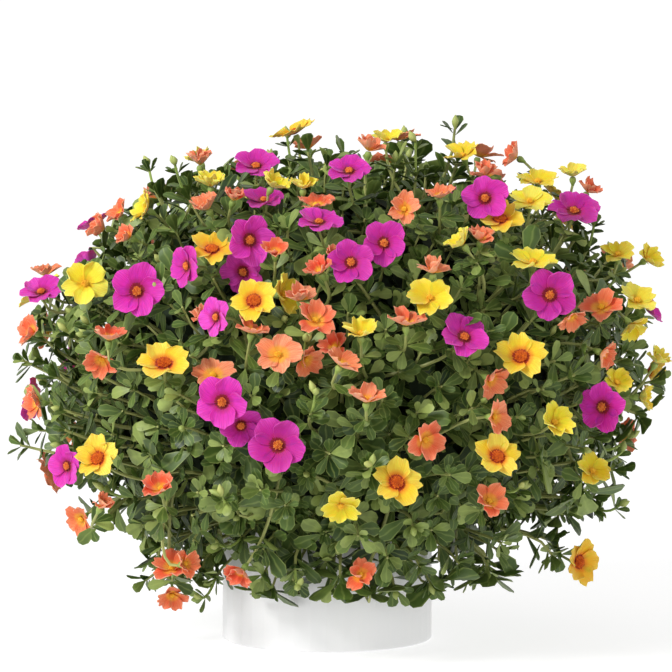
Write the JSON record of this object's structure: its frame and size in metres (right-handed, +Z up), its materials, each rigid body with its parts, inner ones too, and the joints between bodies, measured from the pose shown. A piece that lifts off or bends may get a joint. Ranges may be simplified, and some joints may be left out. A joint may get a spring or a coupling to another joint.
{
  "type": "potted portulaca",
  "caption": "Flowering portulaca in a plain round white pot: a wide mound of leafy branches set with five-petalled blooms in magenta, yellow, orange and two-tone yellow.",
  "frame": {"origin": "middle of the pot's underside, on the surface that it stands on", "axes": "+Z up, the pictured side faces -Y, +X to the right in the picture"},
  "size_m": [0.4666, 0.4477, 0.3717],
  "materials": {
    "pot": "plain white, satin",
    "soil": "dark crumbly potting soil",
    "leaf": "fleshy green leaves with a soft wax bloom, paler stems",
    "bloom": "thin matt petals in magenta, golden yellow with a red eye, plain yellow and orange to salmon"
  },
  "bodies": {
    "root": {"branch_01": "leaf", "branch_02": "leaf", "branch_03": "leaf", "branch_04": "leaf", "branch_05": "leaf", "branch_06": "leaf", "branch_07": "leaf", "branch_08": "leaf", "branch_09": "leaf", "branch_10": "leaf", "pot": "pot", "soil": "soil", "spray_01": "bloom", "spray_02": "bloom", "spray_03": "bloom", "spray_04": "bloom", "spray_05": "bloom", "spray_06": "bloom", "spray_07": "bloom", "spray_08": "bloom", "spray_09": "bloom", "spray_10": "bloom", "spray_11": "bloom", "spray_12": "bloom", "spray_13": "bloom", "spray_14": "bloom", "spray_15": "bloom", "spray_16": "bloom", "spray_17": "bloom", "spray_18": "bloom", "spray_19": "bloom", "spray_20": "bloom", "spray_21": "bloom", "spray_22": "bloom", "spray_23": "bloom", "spray_24": "bloom", "spray_25": "bloom", "spray_26": "bloom", "spray_27": "bloom", "spray_28": "bloom", "spray_29": "bloom", "spray_30": "bloom", "spray_31": "bloom", "spray_32": "bloom", "spray_33": "bloom", "spray_34": "bloom", "spray_35": "bloom", "spray_36": "bloom", "spray_37": "bloom", "spray_38": "bloom", "spray_39": "bloom"}
  },
  "joints": []
}
